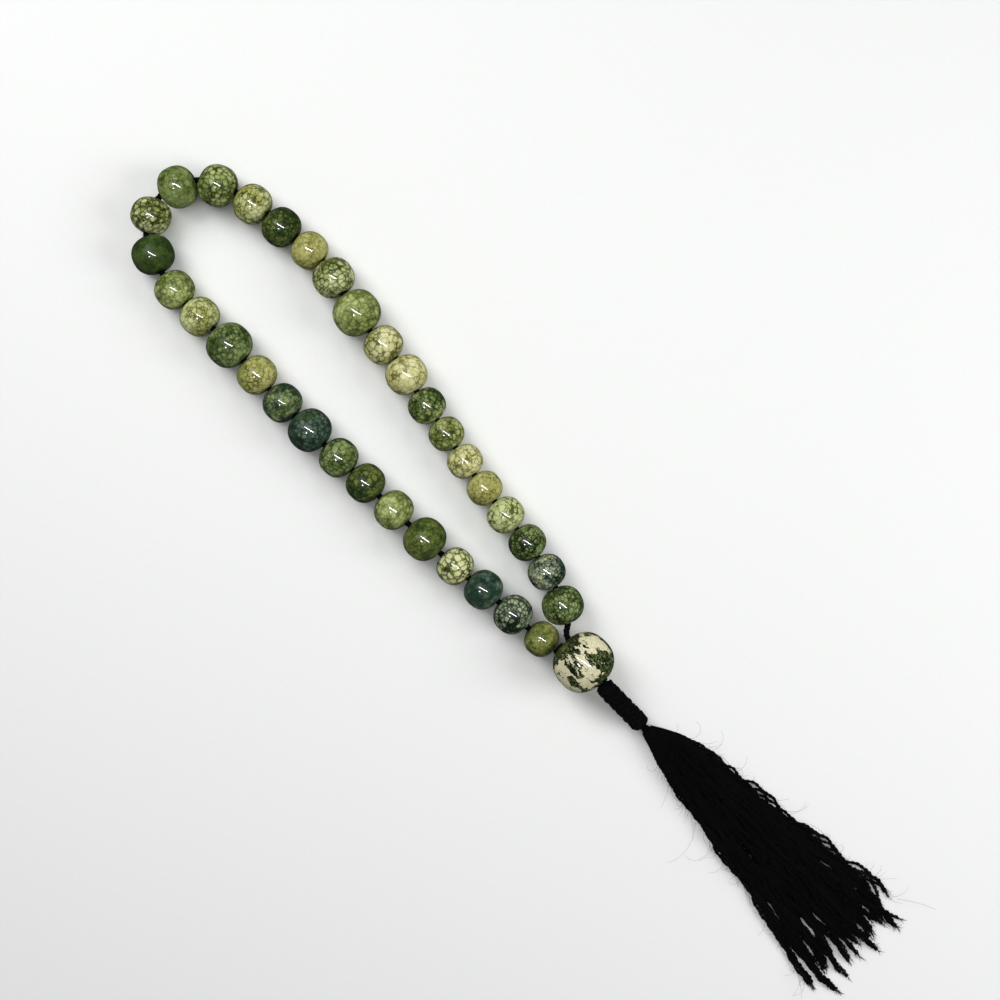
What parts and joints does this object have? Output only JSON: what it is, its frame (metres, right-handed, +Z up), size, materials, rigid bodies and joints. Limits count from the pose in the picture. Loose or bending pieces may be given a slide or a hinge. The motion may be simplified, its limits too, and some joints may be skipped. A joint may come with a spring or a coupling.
{
  "type": "misbaha prayer beads",
  "caption": "Closed strand of drilled round counting beads on a soft cord, meeting at one larger leading bead with a knotted stem and a long yarn tassel; lies flat on a table.",
  "frame": {"origin": "middle of the whole outline seen from above, on the surface it lies on", "axes": "+Y from the tassel towards the far end of the loop, +Z up from the table, +X to the right seen from above with the loop away"},
  "size_m": [0.0412, 0.2661, 0.0151],
  "materials": {
    "stone_dark": "polished, dark green and blue-green with a fine black net",
    "stone_mid": "polished, olive to mid green, mottled",
    "stone_pale": "polished, pale yellow-green cells in a dark net",
    "imam_stone": "polished, cream with dark green fern-like patches",
    "cord": "black braided cord, matt with a slight sheen",
    "tassel_yarn": "black two-ply yarn, matt, fuzzy"
  },
  "bodies": {
    "stem": {"knotted_stem": "cord", "tail_cord_left": "cord", "tail_cord_right": "cord"},
    "imam": {"imam_bead": "imam_stone"},
    "strand_01": {"strand_cord_01": "cord"},
    "strand_02": {"strand_cord_02": "cord"},
    "strand_03": {"strand_cord_03": "cord"},
    "strand_04": {"strand_cord_04": "cord"},
    "strand_05": {"strand_cord_05": "cord"},
    "strand_06": {"strand_cord_06": "cord"},
    "strand_07": {"strand_cord_07": "cord"},
    "strand_08": {"strand_cord_08": "cord"},
    "strand_09": {"strand_cord_09": "cord"},
    "strand_10": {"strand_cord_10": "cord"},
    "strand_11": {"strand_cord_11": "cord"},
    "strand_12": {"strand_cord_12": "cord"},
    "bead_01": {"bead_01": "stone_mid"},
    "bead_02": {"bead_02": "stone_dark"},
    "bead_03": {"bead_03": "stone_dark"},
    "bead_04": {"bead_04": "stone_pale"},
    "bead_05": {"bead_05": "stone_dark"},
    "bead_06": {"bead_06": "stone_mid"},
    "bead_07": {"bead_07": "stone_dark"},
    "bead_08": {"bead_08": "stone_mid"},
    "bead_09": {"bead_09": "stone_dark"},
    "bead_10": {"bead_10": "stone_dark"},
    "bead_11": {"bead_11": "stone_mid"},
    "bead_12": {"bead_12": "stone_dark"},
    "bead_13": {"bead_13": "stone_pale"},
    "bead_14": {"bead_14": "stone_mid"},
    "bead_15": {"bead_15": "stone_dark"},
    "bead_16": {"bead_16": "stone_pale"},
    "bead_17": {"bead_17": "stone_pale"},
    "bead_18": {"bead_18": "stone_mid"},
    "bead_19": {"bead_19": "stone_pale"},
    "bead_20": {"bead_20": "stone_dark"},
    "bead_21": {"bead_21": "stone_mid"},
    "bead_22": {"bead_22": "stone_pale"},
    "bead_23": {"bead_23": "stone_mid"},
    "bead_24": {"bead_24": "stone_pale"},
    "bead_25": {"bead_25": "stone_pale"},
    "bead_26": {"bead_26": "stone_mid"},
    "bead_27": {"bead_27": "stone_mid"},
    "bead_28": {"bead_28": "stone_pale"},
    "bead_29": {"bead_29": "stone_mid"},
    "bead_30": {"bead_30": "stone_pale"},
    "bead_31": {"bead_31": "stone_dark"},
    "bead_32": {"bead_32": "stone_dark"},
    "bead_33": {"bead_33": "stone_mid"},
    "tassel": {"tassel_head": "tassel_yarn", "tassel_lock_01": "tassel_yarn", "tassel_lock_02": "tassel_yarn", "tassel_lock_03": "tassel_yarn", "tassel_lock_04": "tassel_yarn", "tassel_lock_05": "tassel_yarn", "tassel_lock_06": "tassel_yarn", "tassel_lock_07": "tassel_yarn", "tassel_lock_08": "tassel_yarn", "tassel_lock_09": "tassel_yarn"}
  },
  "joints": [
    {"name": "loop_open", "type": "hinge", "parent": "stem", "child": "strand_12", "pos_m": [-0.00429, -0.02042, 0.0065], "axis": [0, 0, -1], "range_deg": [0, 22]},
    {"name": "tassel_swing", "type": "hinge", "parent": "stem", "child": "tassel", "pos_m": [-0.00539, -0.05032, 0.00285], "axis": [0, 0, 1], "range_deg": [-40, 40]},
    {"name": "imam_spin", "type": "hinge", "parent": "stem", "child": "imam", "pos_m": [-0.00529, -0.02832, 0.0076], "axis": [0, 0.9903, -0.1392], "continuous": true},
    {"name": "bead_02_slide", "type": "slide", "parent": "strand_01", "child": "bead_02", "axis": [-0.0942, 0.9952, 0.0256], "range_m": [-0.0006, 0.0003]},
    {"name": "bead_05_slide", "type": "slide", "parent": "strand_02", "child": "bead_05", "axis": [-0.0872, 0.9961, 0.0114], "range_m": [-0.0005, 0.0007]},
    {"name": "bead_06_slide", "type": "slide", "parent": "strand_02", "child": "bead_06", "axis": [-0.0544, 0.9982, -0.0252], "range_m": [-0.0007, 0.0002]},
    {"name": "bead_14_slide", "type": "slide", "parent": "strand_05", "child": "bead_14", "axis": [0.078, 0.9969, 0.013], "range_m": [0, 0.0006]},
    {"name": "flex_29_30", "type": "hinge", "parent": "strand_12", "child": "strand_11", "pos_m": [0.00568, 0.01594, 0.00462], "axis": [0, 0, -1], "range_deg": [-13, 0]},
    {"name": "flex_26_27", "type": "hinge", "parent": "strand_11", "child": "strand_10", "pos_m": [0.00901, 0.04063, 0.00456], "axis": [0, 0, -1], "range_deg": [-10, 0]},
    {"name": "flex_23_24", "type": "hinge", "parent": "strand_10", "child": "strand_09", "pos_m": [0.01176, 0.06817, 0.00556], "axis": [0, 0, -1], "range_deg": [-22, 0]},
    {"name": "flex_20_21", "type": "hinge", "parent": "strand_09", "child": "strand_08", "pos_m": [0.01377, 0.09774, 0.00481], "axis": [0, 0, -1], "range_deg": [-5.5, 0]},
    {"name": "flex_17_18", "type": "hinge", "parent": "strand_08", "child": "strand_07", "pos_m": [0.00596, 0.12528, 0.0053], "axis": [0, 0, -1], "range_deg": [0, 29]},
    {"name": "flex_16_17", "type": "hinge", "parent": "strand_07", "child": "strand_06", "pos_m": [-0.00407, 0.12879, 0.0051], "axis": [0, 0, -1], "range_deg": [0, 15]},
    {"name": "flex_15_16", "type": "hinge", "parent": "strand_06", "child": "strand_05", "pos_m": [-0.01305, 0.12402, 0.00513], "axis": [0, 0, -1], "range_deg": [0, 6]},
    {"name": "flex_12_13", "type": "hinge", "parent": "strand_05", "child": "strand_04", "pos_m": [-0.01647, 0.095, 0.00546], "axis": [0, 0, -1], "range_deg": [-15, 0]},
    {"name": "flex_09_10", "type": "hinge", "parent": "strand_04", "child": "strand_03", "pos_m": [-0.01625, 0.0654, 0.00531], "axis": [0, 0, -1], "range_deg": [-8.5, 0]},
    {"name": "flex_06_07", "type": "hinge", "parent": "strand_03", "child": "strand_02", "pos_m": [-0.01451, 0.03633, 0.00494], "axis": [0, 0, -1], "range_deg": [-23, 0]},
    {"name": "flex_03_04", "type": "hinge", "parent": "strand_02", "child": "strand_01", "pos_m": [-0.01208, 0.00631, 0.00479], "axis": [0, 0, -1], "range_deg": [-7, 0]},
    {"name": "bead_01_spin", "type": "hinge", "parent": "strand_01", "child": "bead_01", "pos_m": [-0.00912, -0.01731, 0.0045], "axis": [-0.1271, 0.9915, 0.0289], "continuous": true},
    {"name": "bead_03_spin", "type": "hinge", "parent": "strand_01", "child": "bead_03", "pos_m": [-0.01136, 0.00165, 0.005], "axis": [-0.155, 0.9878, -0.0131], "continuous": true},
    {"name": "bead_04_spin", "type": "hinge", "parent": "strand_02", "child": "bead_04", "pos_m": [-0.01254, 0.01077, 0.00475], "axis": [-0.1002, 0.9946, 0.0271], "continuous": true},
    {"name": "bead_07_spin", "type": "hinge", "parent": "strand_03", "child": "bead_07", "pos_m": [-0.01481, 0.04118, 0.005], "axis": [-0.0618, 0.9981, 0], "continuous": true},
    {"name": "bead_08_spin", "type": "hinge", "parent": "strand_03", "child": "bead_08", "pos_m": [-0.01543, 0.05042, 0.005], "axis": [-0.0719, 0.9971, 0.0268], "continuous": true},
    {"name": "bead_09_spin", "type": "hinge", "parent": "strand_03", "child": "bead_09", "pos_m": [-0.01601, 0.06031, 0.0055], "axis": [-0.0468, 0.9989, 0], "continuous": true},
    {"name": "bead_10_spin", "type": "hinge", "parent": "strand_04", "child": "bead_10", "pos_m": [-0.01639, 0.07003, 0.005], "axis": [-0.031, 0.9992, -0.0268], "continuous": true},
    {"name": "bead_11_spin", "type": "hinge", "parent": "strand_04", "child": "bead_11", "pos_m": [-0.01635, 0.07946, 0.005], "axis": [0.0409, 0.9984, 0.0401], "continuous": true},
    {"name": "bead_12_spin", "type": "hinge", "parent": "strand_04", "child": "bead_12", "pos_m": [-0.0163, 0.08942, 0.00575], "axis": [-0.0274, 0.9996, 0], "continuous": true},
    {"name": "bead_13_spin", "type": "hinge", "parent": "strand_05", "child": "bead_13", "pos_m": [-0.0169, 0.09984, 0.005], "axis": [-0.0916, 0.995, -0.0395], "continuous": true},
    {"name": "bead_15_spin", "type": "hinge", "parent": "strand_05", "child": "bead_15", "pos_m": [-0.01494, 0.11906, 0.00525], "axis": [0.312, 0.9501, 0], "continuous": true},
    {"name": "bead_16_spin", "type": "hinge", "parent": "strand_06", "child": "bead_16", "pos_m": [-0.00869, 0.12663, 0.005], "axis": [0.882, 0.4713, 0], "continuous": true},
    {"name": "bead_17_spin", "type": "hinge", "parent": "strand_07", "child": "bead_17", "pos_m": [0.00105, 0.12726, 0.00525], "axis": [0.9423, -0.3345, 0.0115], "continuous": true},
    {"name": "bead_18_spin", "type": "hinge", "parent": "strand_08", "child": "bead_18", "pos_m": [0.00862, 0.1207, 0.00525], "axis": [0.4644, -0.8855, -0.012], "continuous": true},
    {"name": "bead_19_spin", "type": "hinge", "parent": "strand_08", "child": "bead_19", "pos_m": [0.01184, 0.11149, 0.005], "axis": [0.182, -0.9832, -0.0132], "continuous": true},
    {"name": "bead_20_spin", "type": "hinge", "parent": "strand_08", "child": "bead_20", "pos_m": [0.01323, 0.10234, 0.005], "axis": [0.1164, -0.9931, -0.0135], "continuous": true},
    {"name": "bead_21_spin", "type": "hinge", "parent": "strand_09", "child": "bead_21", "pos_m": [0.01445, 0.0934, 0.00475], "axis": [0.1555, -0.9877, 0.0142], "continuous": true},
    {"name": "bead_22_spin", "type": "hinge", "parent": "strand_09", "child": "bead_22", "pos_m": [0.01417, 0.08421, 0.00525], "axis": [-0.198, -0.9781, 0.0633], "continuous": true},
    {"name": "bead_23_spin", "type": "hinge", "parent": "strand_09", "child": "bead_23", "pos_m": [0.01246, 0.07374, 0.006], "axis": [-0.1271, -0.9918, -0.0111], "continuous": true},
    {"name": "bead_24_spin", "type": "hinge", "parent": "strand_10", "child": "bead_24", "pos_m": [0.01188, 0.06351, 0.005], "axis": [0.0271, -0.9988, -0.0403], "continuous": true},
    {"name": "bead_25_spin", "type": "hinge", "parent": "strand_10", "child": "bead_25", "pos_m": [0.01104, 0.05412, 0.00525], "axis": [-0.1978, -0.9802, -0.0129], "continuous": true},
    {"name": "bead_26_spin", "type": "hinge", "parent": "strand_10", "child": "bead_26", "pos_m": [0.00954, 0.04499, 0.00475], "axis": [-0.1211, -0.9917, -0.0427], "continuous": true},
    {"name": "bead_27_spin", "type": "hinge", "parent": "strand_11", "child": "bead_27", "pos_m": [0.00835, 0.03653, 0.0045], "axis": [-0.1599, -0.987, -0.0151], "continuous": true},
    {"name": "bead_28_spin", "type": "hinge", "parent": "strand_11", "child": "bead_28", "pos_m": [0.00708, 0.02832, 0.0045], "axis": [-0.1444, -0.9895, 0], "continuous": true},
    {"name": "bead_29_spin", "type": "hinge", "parent": "strand_11", "child": "bead_29", "pos_m": [0.00608, 0.02008, 0.0045], "axis": [-0.0964, -0.9952, 0.0151], "continuous": true},
    {"name": "bead_30_spin", "type": "hinge", "parent": "strand_12", "child": "bead_30", "pos_m": [0.00539, 0.01156, 0.00475], "axis": [-0.0656, -0.9977, 0.0142], "continuous": true},
    {"name": "bead_31_spin", "type": "hinge", "parent": "strand_12", "child": "bead_31", "pos_m": [0.00466, 0.00282, 0.00475], "axis": [-0.1024, -0.9947, 0], "continuous": true},
    {"name": "bead_32_spin", "type": "hinge", "parent": "strand_12", "child": "bead_32", "pos_m": [0.00323, -0.00584, 0.00475], "axis": [-0.2216, -0.9747, 0.0285], "continuous": true},
    {"name": "bead_33_spin", "type": "hinge", "parent": "strand_12", "child": "bead_33", "pos_m": [0.00051, -0.01465, 0.00525], "axis": [-0.3599, -0.9326, 0.0257], "continuous": true}
  ],
  "couplings": [
    {"joint": "flex_29_30", "follows": "loop_open", "ratio": -0.54},
    {"joint": "flex_26_27", "follows": "loop_open", "ratio": -0.39},
    {"joint": "flex_23_24", "follows": "loop_open", "ratio": -0.95},
    {"joint": "flex_20_21", "follows": "loop_open", "ratio": -0.19},
    {"joint": "flex_17_18", "follows": "loop_open", "ratio": 1.27},
    {"joint": "flex_16_17", "follows": "loop_open", "ratio": 0.63},
    {"joint": "flex_15_16", "follows": "loop_open", "ratio": 0.22},
    {"joint": "flex_12_13", "follows": "loop_open", "ratio": -0.63},
    {"joint": "flex_09_10", "follows": "loop_open", "ratio": -0.33},
    {"joint": "flex_06_07", "follows": "loop_open", "ratio": -0.99},
    {"joint": "flex_03_04", "follows": "loop_open", "ratio": -0.26}
  ]
}
